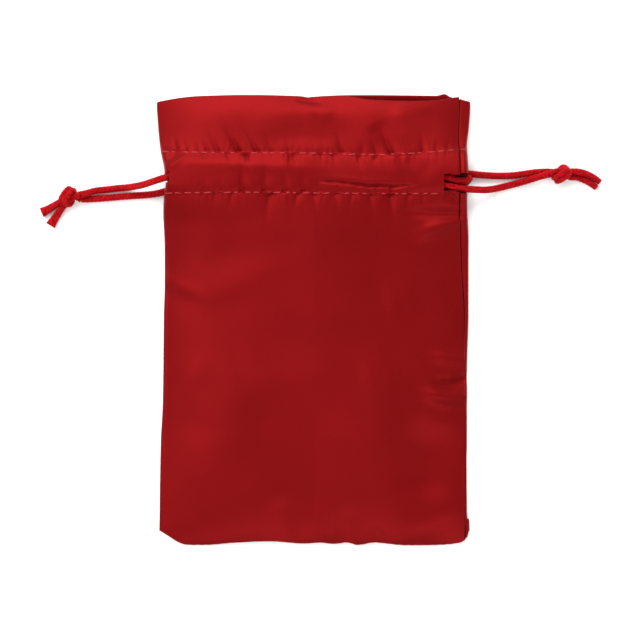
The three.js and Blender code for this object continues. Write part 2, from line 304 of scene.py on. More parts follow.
def thread_material(name, light, dark):
    """Spun polyester thread: twisted plies with a soft fuzz, and painted shade in the grooves between the
    plies.
    """
    material, shader = new_material(name, light, 0.5)
    n = Nodes(material)
    thread = n.place((1, 1, 1))
    parts = n.add("ShaderNodeSeparateXYZ", {"Vector": thread})
    across = n.math("ADD", parts.outputs["X"], parts.outputs["Y"])
    turn = n.math("MULTIPLY", across, 2 * math.pi / THREAD_TWIST)
    plies = n.scaled(n.math("SINE", turn), 0.5, 0.5)
    fuzz = n.noise(thread, 6.0, 3.0, 0.6)
    # Painted shade: the colour is darker in the twist's grooves between the plies. The fuzz varies it at
    # random.
    colour = n.mix(n.math("MULTIPLY", n.math("ADD", plies, fuzz), 0.55), (*dark, 1), (*light, 1))
    gloss = n.scaled(fuzz, 0.3, 0.35)
    settings = {"Specular IOR Level": 0.12, "Sheen Weight": 0.08, "Sheen Tint": (1.0, 0.5, 0.5, 1)}
    n.surface(shader, colour, gloss, n.math("ADD", plies, fuzz), 0.5, 0.00005, settings)
    return material


# ---------------------------------------------------------------- cords and knots

CORD_DIAMETER = 2.3
CORD_SIDES = 32
RUN_SIDES = 24
STRAND_STEP = 0.2
RUN_STEP = 0.4
BRAID_CARRIERS = 8
BRAID_PITCH = 5.2
BRAID_RELIEF = 0.045
KNOT_RELIEF = BRAID_RELIEF * 1.2
BRAID_MEAN = 0.6
YARNS_PER_CARRIER = 3.0
LANE_MIDDLE_Z = 9.8
LANE_END_DROP = 1.35
CHANNEL_HALF = 49.7


def lane_z(x):
    """The height of the cords' front lanes, which sink a little at the channel's ends."""
    return LANE_MIDDLE_Z - LANE_END_DROP * (x / CHANNEL_HALF) ** 6


BACK_LANE_Z = 2.1
LEFT_FRONT_LANE, LEFT_BACK_LANE = 46.8, 43.95
RIGHT_FRONT_LANE, RIGHT_BACK_LANE = 43.95, 48.3

LEFT_FRONT_STRAND = [
    (-76.7, 41.2, 4.1), (-74.5, 41.8, 3.1), (-71.6, 42.7, 1.6), (-68.0, 43.1, 1.2),
    (-64.6, 43.5, 1.25), (-61.6, 43.7, 2.0), (-58.6, 44.0, 3.6), (-55.4, 44.5, 5.8),
    (-52.0, 45.4, 7.9), (-48.9, 46.3, 8.7), (-46.4, 46.8, 9.1), (-44.2, LEFT_FRONT_LANE, lane_z(44.2)),
]
LEFT_FAR_LOOP = [
    (42.2, LEFT_FRONT_LANE, lane_z(42.2)), (44.6, 46.3, 8.8), (47.5, 45.6, 7.4), (49.8, 45.7, 5.9),
    (51.1, 46.5, 4.7), (50.8, 45.8, 3.1), (49.2, 44.7, 2.2), (46.5, 44.1, 2.1),
]
LEFT_BACK_STRAND = [
    (-44.0, LEFT_BACK_LANE, BACK_LANE_Z), (-46.0, 43.5, 2.3), (-48.7, 42.5, 2.15), (-52.0, 41.7, 1.5),
    (-55.5, 41.3, 1.2), (-59.0, 41.05, 1.2), (-62.8, 40.8, 1.2), (-67.2, 40.4, 1.2),
    (-71.6, 40.1, 1.2), (-74.2, 39.95, 1.35), (-76.7, 39.9, 1.7),
]
RIGHT_FRONT_STRAND = [
    (77.4, 47.9, 4.4), (74.5, 47.2, 3.5), (71.5, 46.3, 2.5), (68.3, 45.4, 1.6),
    (65.5, 44.7, 1.2), (62.8, 44.0, 1.25), (59.8, 43.3, 1.9), (56.6, 42.8, 3.4),
    (53.0, 42.8, 5.3), (49.3, 42.9, 7.2), (45.6, 43.3, 8.9), (42.2, RIGHT_FRONT_LANE, lane_z(42.2)),
]
RIGHT_FAR_LOOP = [
    (-44.2, RIGHT_FRONT_LANE, lane_z(44.2)), (-46.0, 44.7, 7.3), (-47.2, 46.6, 5.9),
    (-47.8, 48.3, 4.8), (-47.4, 49.0, 3.3), (-45.2, RIGHT_BACK_LANE, BACK_LANE_Z),
]
RIGHT_BACK_STRAND = [
    (46.0, RIGHT_BACK_LANE, BACK_LANE_Z), (51.0, 48.25, 1.9), (55.0, 47.9, 1.4), (60.8, 47.6, 1.2),
    (66.4, 47.8, 1.2), (70.0, 48.3, 1.2), (73.4, 48.75, 1.3), (77.4, 48.9, 1.6),
]


def front_lane(y, start, end):
    """The front run inside the channel, a point every 11 mm or so, following the panel's height."""
    return [(x, y, lane_z(x)) for x in np.linspace(start, end, 9)[1:-1]]


def back_lane(y, start, end):
    """The back run inside the channel, which lies level."""
    return [(x, y, BACK_LANE_Z) for x in np.linspace(start, end, 9)[1:-1]]


LEFT_RUN = (
    LEFT_FRONT_STRAND[-1:] + front_lane(LEFT_FRONT_LANE, -44.2, 42.2)
    + LEFT_FAR_LOOP + back_lane(LEFT_BACK_LANE, 46.5, -44.0) + LEFT_BACK_STRAND[:1]
)
RIGHT_RUN = (
    RIGHT_FRONT_STRAND[-1:] + front_lane(RIGHT_FRONT_LANE, 42.2, -44.2)
    + RIGHT_FAR_LOOP + back_lane(RIGHT_BACK_LANE, -45.2, 46.0) + RIGHT_BACK_STRAND[:1]
)

LEFT_TAILS = [
    [(-82.5, 39.4, 2.6), (-85.5, 37.8, 1.8), (-87.7, 36.5, 1.3), (-89.8, 35.5, 1.2)],
    [(-81.8, 38.6, 2.4), (-83.5, 36.4, 1.5), (-85.3, 33.8, 1.2), (-86.9, 31.2, 1.2)],
]
RIGHT_TAILS = [
    [(84.4, 48.9, 3.2), (87.2, 48.8, 3.0), (91.2, 47.7, 1.8), (94.6, 45.5, 1.25)],
    [(84.2, 47.3, 2.3), (87.2, 47.1, 1.3), (90.9, 45.5, 1.2), (93.5, 43.6, 1.2)],
]
# An overhand knot's path: along the cord away from the bag, to the side, and up, from the knot's middle.
OVERHAND = [
    (-2.3, 0.4, -0.2), (-0.2, 0.9, 0.0), (1.5, 1.3, 0.7), (1.6, 0.5, 1.9), (0.1, -0.9, 2.1),
    (-1.5, -2.0, 1.0), (-1.8, -1.9, -0.8), (-0.7, -0.4, -1.9), (0.3, 1.4, -1.8),
    (1.0, 1.7, -0.6), (1.8, 0.6, -0.2),
]
KNOT_SPREAD = 0.72
KNOT_RADIUS = 1.02
KNOT_MIDDLES = {"left": (-80.8, 40.3, 3.5), "right": (81.8, 48.2, 3.5)}
KNOT_AXES = {"left": (-0.93, -0.3, 0), "right": (0.99, -0.08, 0)}
# A tail's width at its cut end, where 1 is round: the left ones spread flat, the right ones stay narrow.
TAIL_FLARE = {"left": 1.48, "right": 0.82}
# The cord's radius along a knot: squeezed in the knot's turns, looser before and after.
KNOT_SQUEEZE = [(0, 1.15), (0.1, KNOT_RADIUS), (0.62, KNOT_RADIUS), (0.78, 1.12), (1, 1.16)]
# How much of its tail's flare a strand has reached, along its way through the knot.
FLARE_SHARE = [(0, 0), (0.75, 0), (0.93, 0.46), (1, 1)]


def carry_frames(line):
    """The directions along, beside and above a line, carried along it without twisting."""
    along = np.gradient(line, axis=0)
    along /= np.linalg.norm(along, axis=1)[:, None]
    above = np.zeros_like(line)
    above[0] = np.array([0, 0, 1.0]) - along[0] * along[0, 2]
    above[0] /= np.linalg.norm(above[0])
    for i in range(1, len(line)):
        above[i] = above[i - 1] - along[i] * (above[i - 1] @ along[i])
        above[i] /= np.linalg.norm(above[i])
    beside = np.cross(along, above)
    last = np.array([0, 0, 1.0]) - along[-1] * along[-1, 2]
    twist = math.atan2(last @ beside[-1], last @ above[-1])
    angle = np.linspace(0, twist, len(line))[:, None]
    turned = above * np.cos(angle) + beside * np.sin(angle)
    return along, np.cross(along, turned), turned


def tube(line, radius, width=1.0, start_at=0.0, sides=CORD_SIDES, relief=BRAID_RELIEF):
    """Points, faces and flat coordinates of a closed braided tube round a line.
    Its radius and its widening from side to side can change along it."""
    along, beside, above = carry_frames(line)
    far = start_at + np.concatenate([[0], np.cumsum(np.linalg.norm(np.diff(line, axis=0), axis=1))])
    turn = np.linspace(0, 2 * math.pi, sides, endpoint=False)
    radius = np.broadcast_to(radius, len(line))[:, None]
    width = np.broadcast_to(width, len(line))[:, None]
    phase = 2 * math.pi * far[:, None] / BRAID_PITCH
    carriers = BRAID_CARRIERS / 2
    over = np.maximum(np.cos(carriers * turn + carriers * phase), np.cos(carriers * turn - carriers * phase))
    round_it = radius + relief * (over - BRAID_MEAN)
    points = (
        line[:, None]
        + beside[:, None] * (np.cos(turn) * round_it * width)[..., None]
        + above[:, None] * (np.sin(turn) * round_it / np.sqrt(width))[..., None]
    )
    rings, count = len(line), sides
    flat = np.stack(np.broadcast_arrays(turn * CORD_DIAMETER / 2, far[:, None]), axis=-1)
    points, flat = points.reshape(-1, 3), flat.reshape(-1, 2)
    i, j = np.meshgrid(np.arange(rings - 1), np.arange(count), indexing="ij")
    k = (j + 1) % count
    faces = np.stack([i * count + j, i * count + k, (i + 1) * count + k, (i + 1) * count + j], axis=-1)
    faces = faces.reshape(-1, 4)
    middle_a, middle_b = len(points), len(points) + 1
    points = np.concatenate([points, line[:1], line[-1:]])
    flat = np.concatenate([flat, [[0, far[0]], [0, far[-1]]]])
    j = np.arange(count)
    k = (j + 1) % count
    first = np.stack([np.full(count, middle_a), k, j], axis=-1)
    last = np.stack([np.full(count, middle_b), (rings - 1) * count + j, (rings - 1) * count + k], axis=-1)
    return points, [faces, first, last], flat


def make_object(name, parts, material):
    """One object from parts, each of points in millimetres, groups of faces, and flat coordinates."""
    points, faces, flat, offset = [], [], [], 0
    for part_points, groups, part_flat in parts:
        points.append(part_points)
        flat.append(part_flat)
        for group in groups:
            faces.extend((group + offset).tolist())
        offset += len(part_points)
    points, flat = np.concatenate(points), np.concatenate(flat)
    data = bpy.data.meshes.new(name)
    data.from_pydata((points * MM).tolist(), [], faces)
    data.polygons.foreach_set("use_smooth", np.ones(len(data.polygons), bool))
    corner = np.zeros(len(data.loops), np.int32)
    data.loops.foreach_get("vertex_index", corner)
    layer = data.uv_layers.new(name="flat")
    layer.data.foreach_set("uv", flat[corner].astype(np.float32).ravel())
    data.materials.append(material)
    made = bpy.data.objects.new(name, data)
    bpy.context.scene.collection.objects.link(made)
    return made


def knot_strand(start, before, knot_middle, axis, spread, tail):
    """One cord's way from its free stretch through the overhand knot to its cut tail."""
    axis = np.array(axis) / np.linalg.norm(axis)
    side = np.cross([0, 0, 1.0], axis)
    path = np.array([knot_middle + a * axis + b * side + np.array([0, 0, c]) for a, b, c in OVERHAND])
    along = np.gradient(path, axis=0)
    out = path - knot_middle
    band = np.cross(along, out)
    band /= np.linalg.norm(band, axis=1)[:, None]
    path = path + spread * band
    points = [before, start] + list(path) + list(tail)
    line = line_through(points, STRAND_STEP)
    first = int(np.argmin(np.linalg.norm(line - np.array(start), axis=1)))
    return line[first:]


def make_knot(name, ends, befores, knot_middle, axis, tails, flare_to, material):
    parts = []
    for end, before, spread, tail in zip(ends, befores, (KNOT_SPREAD, -KNOT_SPREAD), tails):
        line = knot_strand(end, before, np.array(knot_middle), axis, spread, tail)
        share = np.linspace(0, 1, len(line))
        flare = 1 + (flare_to - 1) * curve(FLARE_SHARE, share)
        parts.append(tube(line, curve(KNOT_SQUEEZE, share), flare, relief=KNOT_RELIEF))
    return make_object(name, parts, material)


def make_drawstring(side, run, strands, tails, knot_node, material, body):
    """One cord: its run in the channel, its two free strands and the knot that ties them."""
    run_tube = tube(line_through(run, RUN_STEP), CORD_DIAMETER / 2, sides=RUN_SIDES)
    run_piece = make_object(f"{side}_cord_run", [run_tube], material)
    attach(run_piece, body)
    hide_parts(f"{side}_cord")
    front, back = strands
    knot = make_knot(
        f"{side}_knot_tied", (front[0], back[-1]), (front[1], back[-2]), KNOT_MIDDLES[side], KNOT_AXES[side],
        tails, TAIL_FLARE[side], material,
    )
    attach(knot, body)
    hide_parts(knot_node)
    for where, points in (("front", front[::-1]), ("back", back)):
        line = line_through(points, STRAND_STEP)
        piece = make_object(f"{side}_{where}_strand", [tube(line, CORD_DIAMETER / 2)], material)
        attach(piece, body)
        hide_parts(f"{side}_cord")


# ---------------------------------------------------------------- the bag's outline and heights

# The sides and the right seam: place up the bag, then x. The bottom and the mouths: x, then place up the
# bag. The stitch rows: x, then how far the row lies above the middle of its CAD solid.
LEFT_SIDE = [
    (-75, -51.0), (-69.5, -50.8), (-56.4, -50.6), (-40.3, -50.3), (-26, -49.6), (1.6, -49.3), (13.1, -49.0),
    (24.2, -49.0), (34.4, -49.3), (41.9, -48.7), (44.2, -48.3), (49.2, -48.7), (55.1, -50.0), (59, -50.6),
    (66.2, -51.3), (71.4, -51.6), (75, -51.6),
]
RIGHT_SIDE = [
    (-75, 51.4), (-69.5, 51.3), (-66.5, 50.6), (-52.8, 50.1), (-42, 50.5), (-17, 50.5), (1.6, 51.0),
    (26.2, 51.0), (33.1, 50.6), (41.3, 50.3), (48.5, 50.6), (56.7, 50.3), (62.9, 51.0), (71.4, 51.6),
    (75, 51.6),
]
BOTTOM = [
    (-52, -69.0), (-50.8, -69.5), (-41.5, -74.1), (-35.9, -74.1), (-27, -73.4), (-14.6, -72.9), (-3.1, -73.6),
    (2.1, -73.3), (6.7, -73.7), (11, -73.3), (14.6, -74.1), (19.8, -73.3), (30.6, -74.2), (40.5, -74.1),
    (48.3, -73.4), (50.5, -71.8), (51.3, -69.5), (52, -69.0),
]
FRONT_MOUTH = [
    (-52, 71.3), (-51.6, 71.4), (-37, 72.9), (-21, 73.1), (-4.4, 72.7), (-1, 72.2), (3, 72.7), (9.3, 72.7),
    (19.5, 71.4), (30.6, 71.1), (39.2, 71.4), (46.4, 72.7), (48, 72.9), (52, 72.0),
]
BACK_MOUTH = [
    (-52, 71.3), (-51.6, 71.4), (-37, 72.2), (-21, 72.4), (-4.4, 72.6), (-0.5, 73.4), (11.3, 73.9),
    (29.3, 73.7), (40.5, 73.6), (43.3, 74.2), (44.7, 73.4), (51.6, 71.4), (52, 71.3),
]
UPPER_ROW_RISE = [(-52, 0.8), (-44, 0.5), (-30, 0.1), (0, -0.1), (20, -0.6), (35, 0.1), (44, 1.0), (52, 1.8)]
LOWER_ROW_RISE = [(-52, 0.2), (-20, 0.3), (0, 0.1), (20, -0.1), (42, 0.0), (52, 0.3)]
UPPER_ROW_Y = float(middle("front_upper_stitching")[1])
LOWER_ROW_Y = float(middle("front_lower_stitching")[1])
HEM_ALLOWANCE = 4.0
RIGHT_SEAM = [
    (-75, 49.9), (-40, 49.8), (-10, 49.5), (2, 49.4), (13, 48.7), (30, 47.8), (37, 47.4), (51, 47.4),
    (59, 47.2), (71, 47.7), (75, 47.8),
]
LEFT_SEAM_X = -46.2
# How high the front panel lies: place up the bag, height at the sides, height in the middle.
FRONT_HEIGHTS = [
    (-75, 1.3, 1.3), (-72.5, 1.9, 2.9), (-67, 2.3, 4.9), (-58, 2.4, 6.7), (-46, 2.4, 7.8), (-28, 2.4, 8.6),
    (-5, 2.4, 9.2), (18, 2.6, 10.1), (31, 5.0, 11.2), (38, 8.2, 11.8), (41.3, 9.8, 12.05), (44, 11.0, 12.35),
    (47.5, 11.0, 12.4), (54.2, 9.3, 11.85), (57, 6.9, 11.6), (62, 4.9, 10.95), (67, 3.9, 10.05),
    (71, 3.4, 8.95), (73.2, 3.2, 8.05), (75, 3.0, 7.3),
]
SIDE_ROLL = [(-75, 0.9), (-60, 1.1), (34, 1.1), (42, 1.5), (53, 1.5), (60, 0.9), (75, 0.7)]
CLOTH_THICK = 0.3
CHANNEL_PUFF = 0.35
ROW_PINCH = 0.14
# How far apart a panel's two plies are. Where they are sewn it is PLY_GAP, and halfway across the cord
# channel TUNNEL more; round the bag's sides it is LEAST_SIDE_GAP and SIDE_GAP. A GAP_POWER under 1 makes
# them part quickly beside the stitches.
PLY_GAP = 0.42
TUNNEL = 4.6
LEAST_SIDE_GAP = 0.35
SIDE_GAP = 2.3
GAP_POWER = 0.4
SEAM_TUCK = 1.5
TUCK_SHIFT = 0.06
SEAM_GAP = 0.5
LEFT_SEAM_GAP = 0.35
# A seam's groove stays above this height, and goes down at most this share of the way to it.
SEAM_FLOOR = 0.6
SEAM_SHARE = 0.6
STRIP_DROP = 0.35


def row_y(x, rise, base):
    return base + curve(rise, x)


def upper_row(x):
    return row_y(x, UPPER_ROW_RISE, UPPER_ROW_Y)


def lower_row(x):
    return row_y(x, LOWER_ROW_RISE, LOWER_ROW_Y)


def channel_share(x, y):
    """0 outside the cord channel and on its two stitch rows, 1 halfway between them."""
    t = np.clip((y - lower_row(x)) / (upper_row(x) - lower_row(x)), 0, 1)
    return 4 * t * (1 - t)


def bell(distance, width):
    return np.exp(-((distance / width) ** 2))


def crease(distance, width):
    """Like a bell, but sharper at its crest and longer in its tails, as creased satin is."""
    return np.exp(0.25 - np.sqrt((distance / (0.75 * width)) ** 2 + 0.0625))


def soft_step(share):
    share = np.clip(share, 0, 1)
    return share * share * (3 - 2 * share)


def near_line(x, y, points):
    """How far each place is from a line of points, and how far along the line it is, from 0 to 1."""
    points = np.array(points, float)
    step = np.linalg.norm(np.diff(points, axis=0), axis=1)
    begin = np.concatenate([[0], np.cumsum(step)])
    best = np.full(np.shape(x), 1e9)
    share = np.zeros(np.shape(x))
    for i, (a, b) in enumerate(zip(points[:-1], points[1:])):
        t = np.clip(((x - a[0]) * (b[0] - a[0]) + (y - a[1]) * (b[1] - a[1])) / step[i] ** 2, 0, 1)
        away = np.hypot(x - a[0] - t * (b[0] - a[0]), y - a[1] - t * (b[1] - a[1]))
        closer = away < best
        best = np.where(closer, away, best)
        share = np.where(closer, (begin[i] + t * step[i]) / begin[-1], share)
    return best, share


# Satin is too soft to hold a firm fold. Where a fold of the body is given as broad or narrow, its number is
# the height it would have in firm cloth, and it keeps this share of that, to the nearest 0.01 mm.
BROAD_SHARE = 0.42
NARROW_SHARE = 0.85


def broad(firm_height):
    return round(firm_height * BROAD_SHARE, 2)


def narrow(firm_height):
    return round(firm_height * NARROW_SHARE, 2)


# Folds of the front panel: height (less than 0 for a valley), width, and the line it follows.
FRONT_FOLDS = [
    (0.62, 2.0, [(-70, 20.5), (-54, 15.0), (-48.7, 13.2), (-44, 11.4), (-38, 9.0), (-30, 6.6)]),
    (-0.4, 2.6, [(-68, 14.5), (-54, 10.2), (-47.5, 8.2), (-42, 6.0), (-34, 3.6)]),
    (broad(1.0), 4.6, [(-42, 4.5), (-33, 8.4), (-20.8, 14.1), (-8.7, 17.4), (2, 18.6)]),
    (broad(-0.8), 5.0, [(-40, 16.0), (-28, 20.5), (-14, 24.5), (4, 26)]),
    (-1.0, 1.9, [(26, 34.4), (34, 34.9), (43, 34.6), (60, 33.0)]),
    (1.3, 2.2, [(30.5, 26.0), (36.5, 28.6), (41, 30.4), (47.4, 32.2), (60, 36)]),
    (broad(-0.6), 3.6, [(38, 22), (44, 14), (46, 2)]),
    (1.3, 1.8, [(36, -11.4), (40.5, -12.0), (44.5, -12.7), (49.6, -13.4), (60, -15)]),
    (-1.9, 1.5, [(37, -19.4), (41.5, -20.8), (45, -21.3), (49.2, -19.6), (60, -16)]),
    (1.7, 1.9, [(33, -23.0), (38.5, -24.2), (43, -25.2), (49.6, -25.4), (60, -25)]),
    (narrow(-0.6), 2.2, [(36, -29.5), (43, -30.5), (58, -31)]),
    (broad(1.0), 6.5, [(22, 5.2), (28.8, 6.6), (36, 7.8)]),
    (broad(1.0), 6.5, [(14, -20.8), (21, -19.3), (25, -18.7), (32, -17.5)]),
    (broad(1.1), 4.8, [(-26, -22.4), (-18, -20.5), (-7.7, -19.4), (4, -19.6), (14, -20.5)]),
    (broad(-0.8), 6.5, [(-24, -8.0), (-6, -6.5), (14, -7.5)]),
    (broad(-0.8), 6.0, [(-26, -33.5), (-8, -32.0), (12, -34.0)]),
    (broad(1.2), 4.4, [(-33.0, -10.0), (-40.0, -18.2), (-44, -22.5), (-47.7, -26.2), (-58, -34)]),
    (broad(-0.7), 5.0, [(-36, -28), (-44, -36), (-56, -44)]),
    (broad(1.0), 9.0, [(-36.5, -34.0), (-38.5, -47.0), (-37.5, -60.0)]),
    (broad(-0.7), 7.0, [(-22, -36), (-20, -50), (-22, -64)]),
    (1.3, 7.0, [(26, -70.5), (36, -67.5), (42, -64.0), (54, -56)]),
    (-2.2, 8.5, [(33, -60.0), (37, -51.0), (38, -40.0), (40, -30)]),
    (broad(-1.0), 6.0, [(24, 0.5), (34, -2.5), (40, -6.0), (52, -12)]),
    (-0.6, 3.8, [(-11.5, -56), (-10.3, -63), (-9.4, -78)]),
    (-0.5, 3.2, [(11.9, -60), (11.5, -65), (11.0, -78)]),
    (narrow(0.6), 3.0, [(4.4, -58), (4.8, -64), (5.6, -78)]),
    (broad(0.5), 3.4, [(-2.5, -62), (-3.0, -68), (-3.0, -78)]),
    (narrow(-0.5), 2.4, [(21.5, -66), (21.0, -69), (20.5, -78)]),
    (-0.45, 3.4, [(-22, 57.0), (-14, 58.4), (-4, 59.4), (9, 58.6), (16, 57)]),
    (0.45, 3.6, [(-20, 66.5), (-10, 67.5), (0, 67.8), (9, 66.5), (18, 66)]),
    (-0.5, 3.0, [(19.6, 64.5), (21.0, 61.5), (22.5, 57.5), (23, 53)]),
    (0.5, 3.4, [(26.5, 71), (28.0, 66.5), (29.5, 59.0), (30, 54)]),
    (-0.3, 4.0, [(37, 70), (38, 63), (38.5, 56)]),
    (0.3, 6.0, [(-46, 66), (-34, 67.5), (-18, 69)]),
    (0.4, 1.9, [(-54, 50.4), (-46.2, 50.6), (-40, 51.0), (-22, 50.2), (0, 49.0), (10, 48.4)]),
    (-0.95, 0.5, [(-1.0, 45.4), (4.6, 44.9), (9, 44.5), (14, 43.8), (19.5, 43.6)]),
    (-1.2, 0.5, [(11.0, 44.6), (17.5, 43.3), (22, 43.5), (26, 43.1), (33.0, 43.9), (36, 43.6)]),
    (0.3, 1.0, [(1.5, 47.0), (9.5, 46.0), (17.5, 45.0), (30.0, 45.5)]),
    (0.32, 2.8, [(27.4, 55.5), (27.8, 51.5), (28.4, 45.5)]),
    (-0.5, 3.4, [(30.0, 54.5), (32.0, 52.0), (35.5, 49.0), (40, 46)]),
    (0.55, 1.1, [(-47.6, 48.4), (-46.3, 49.9), (-44.3, 51.6), (-42.1, 53.3), (-40.5, 54.6)]),
    (-0.6, 1.5, [(-53, 50.0), (-49.5, 51.0), (-46.8, 52.2), (-44.5, 54.2), (-43, 56)]),
    (-0.55, 0.8, [(-6.6, 72.2), (-4.2, 71.6), (-1.6, 71.3), (1.8, 70.7), (3.6, 70.2)]),
    (0.35, 2.6, [(-4.0, 68.9), (-1.5, 68.5), (2.0, 67.6), (4.5, 67.0), (7.5, 66.0)]),
    (-0.9, 0.9, [(42.0, 41.4), (43.0, 40.8), (44.8, 40.1), (46.9, 39.0), (49, 37.8)]),
]
SOFT_WAVE = 0.07
WAVES = 9
# The shares of a fold's line over which it rises at its start and dies away at its end.
FOLD_START = 0.3
FOLD_END = 0.4
# A fold narrower than this has the sharper profile of a crease.
CREASE_WIDTH = 1.2
# Puckers drawn by the stitches: place along the row, half width, depth, reach, and lean, for the side
# above or below each row.
UPPER_ROW_ABOVE = [
    (-44.7, 0.7, 0.5, 2.6, -0.2), (-41.5, 0.6, 0.42, 2.2, -0.2), (-37.8, 0.6, 0.42, 2.4, -0.3),
    (-34.2, 0.8, 0.55, 3.0, -0.4), (-31.0, 1.0, 0.6, 4.2, -0.5), (-24.1, 1.2, 1.0, 5.2, -0.55),
    (-17.9, 1.1, 0.75, 5.5, -0.6), (-13.2, 0.8, 0.5, 3.2, -0.4), (-7.8, 0.7, 0.35, 2.5, -0.2),
    (9.3, 0.9, 0.65, 3.6, -0.2), (15.5, 0.7, 0.35, 2.6, 0.1), (20.5, 0.7, 0.5, 3.0, -0.3),
    (25.6, 1.3, 1.0, 6.0, -0.45), (35.6, 0.8, 0.55, 3.4, -0.1), (40.0, 0.6, 0.25, 2.0, 0.0),
]
UPPER_ROW_BELOW = [
    (-28.3, 0.8, 0.7, 2.6, 0.3), (-22.1, 0.9, 0.75, 2.8, 0.25), (-36.0, 0.7, 0.3, 2.2, 0.2),
    (-28.3, 1.0, -0.35, 4.0, 0.2), (-9.0, 0.9, -0.45, 3.6, 0.1), (-6.5, 0.8, 0.45, 2.6, 0.2),
    (2.5, 0.7, 0.4, 2.6, 0.1), (6.5, 0.7, 0.42, 2.4, 0.2), (14.5, 0.8, 0.5, 3.0, 0.2),
    (25.4, 1.8, -0.3, 4.2, 0.3), (28.0, 1.3, 0.3, 3.2, 0.2), (20.0, 0.7, 0.4, 2.6, 0.2),
]
LOWER_ROW_ABOVE = [
    (-36.5, 0.8, 0.3, 3.0, 0.1), (-30.5, 0.8, 0.3, 3.0, 0.1), (-23.4, 1.1, 0.75, 5.4, 0.05),
    (-16.2, 1.2, 0.7, 5.0, 0.1), (-9.7, 0.9, 0.6, 4.2, 0.1), (-3.4, 0.9, 0.65, 3.6, 0.0),
    (1.5, 0.8, 0.4, 2.8, 0.1), (8.0, 0.6, 0.4, 1.8, 0.1), (14.0, 0.6, 0.4, 1.8, 0.0),
    (20.5, 0.6, 0.45, 1.8, 0.1), (25.2, 0.8, 0.6, 2.2, 0.1), (31.0, 0.7, 0.4, 2.2, 0.2),
]
LOWER_ROW_BELOW = [
    (-32.0, 0.9, 0.25, 3.0, -0.1), (-26.5, 0.8, 0.3, 3.0, -0.15), (-14.3, 1.7, 0.8, 5.2, -0.1),
    (-9.5, 0.8, -0.35, 3.0, 0.1), (-5.0, 0.9, 0.5, 3.0, -0.2), (0.2, 0.8, 0.5, 2.8, 0.1),
    (7.0, 0.9, 0.4, 3.2, 0.1), (12.5, 0.8, 0.35, 3.0, -0.15), (18.5, 1.1, 0.45, 3.6, 0.15),
    (25.0, 1.6, 0.8, 5.0, 0.1), (31.0, 1.0, 0.4, 3.0, -0.2), (36.0, 0.8, 0.3, 3.0, -0.25),
]
STITCH_PITCH = 3.2
# The depth of the small puckers between those of the tables, and how much deeper all of them are pulled.
FINE_PUCKER = 0.17
PUCKER_DEPTH = 1.7


def pucker(x, side, place, half, depth, reach, lean):
    """How far one pucker draws the cloth down; side is the distance from the row."""
    return depth * crease(x - place - lean * side, half) * np.exp(-((side / reach) ** 1.6))


def pucker_field(x, above, table, seed):
    """How far the cloth is drawn down on one side of a row; above is the distance from the row."""
    side = np.maximum(above, 0)
    down = np.zeros(np.shape(x))
    for place, half, depth, reach, lean in table:
        down += pucker(x, side, place, half * (1 + 0.05 * side), depth, reach, lean)
    chance = np.random.default_rng(seed)
    for place in np.arange(-48, 48, STITCH_PITCH / 2):
        at = place + chance.uniform(-0.5, 0.5)
        half, depth = chance.uniform(0.35, 0.7), chance.uniform(0.2, 1.0) * FINE_PUCKER
        reach, lean = chance.uniform(1.0, 3.4), chance.uniform(-0.3, 0.3)
        down += pucker(x, side, at, half, depth, reach, lean)
    return PUCKER_DEPTH * down * (above > 0)


def panel_relief(x, y, folds, tables, seeds):
    """Folds and puckers together."""
    relief = np.zeros(np.shape(x))
    chance = np.random.default_rng(seeds[0] + 40)
    for _ in range(WAVES):
        turn, length = chance.uniform(0, 2 * math.pi), chance.uniform(11, 26)
        along = (x * math.cos(turn) + y * math.sin(turn)) * 2 * math.pi / length
        relief += SOFT_WAVE / math.sqrt(WAVES) * length / 18 * np.sin(along + chance.uniform(0, 2 * math.pi))
    for height, width, points in folds:
        away, share = near_line(x, y, points)
        profile = crease if width < CREASE_WIDTH else bell
        fold = height * profile(away, width) * soft_step(share / FOLD_START)
        relief += fold * soft_step((1 - share) / FOLD_END)
    over, under = y - upper_row(x), y - lower_row(x)
    relief -= pucker_field(x, over, tables[0], seeds[0])
    relief -= pucker_field(x, -over, tables[1], seeds[1]) * (under > 0)
    relief -= pucker_field(x, under, tables[2], seeds[2]) * (over < 0)
    relief -= pucker_field(x, -under, tables[3], seeds[3])
    return relief


def half_width(x, y):
    """The bag's half width at a place, up to where its side rolls under."""
    roll = curve(SIDE_ROLL, y)
    return np.where(x > 0, curve(RIGHT_SIDE, y) - roll, -(curve(LEFT_SIDE, y) + roll))


def row_pinch(x, y, depth, width=1.5):
    return depth * (bell(y - upper_row(x), width) + bell(y - lower_row(x), width))


def front_height(x, y):
    """The front panel's outer height."""
    edge, crown = curve(FRONT_HEIGHTS, y)
    across = np.clip(np.abs(x) / half_width(x, y), 0, 1)
    height = edge + (crown - edge) * (1 - across**4)
    height = height + CHANNEL_PUFF * channel_share(x, y) - row_pinch(x, y, ROW_PINCH, 1.1)
    tables = (UPPER_ROW_ABOVE, UPPER_ROW_BELOW, LOWER_ROW_ABOVE, LOWER_ROW_BELOW)
    return height + panel_relief(x, y, FRONT_FOLDS, tables, (1, 2, 3, 4))


BACK_FOLDS = [
    (0.5, 4.0, [(-30, 20), (-10, 12), (10, 14)]),
    (0.5, 5.0, [(20, -20), (32, -34), (40, -52)]),
    (0.35, 4.0, [(-38, -30), (-24, -42)]),
    (0.4, 3.0, [(30, 62), (22, 70)]),
    (0.35, 3.0, [(-30, 66), (-14, 62)]),
]
BACK_REST = 0.3
# The back panel's mouth curls up to the right of the middle: how far, around which x and how widely, from
# which place up the bag and over what length.
MOUTH_CURL = 1.5
CURL_X, CURL_WIDTH = 28, 17
CURL_START, CURL_LENGTH = 67.5, 6.5
BACK_ROW_LIFT = 0.55
BOTTOM_LIFT = 0.75


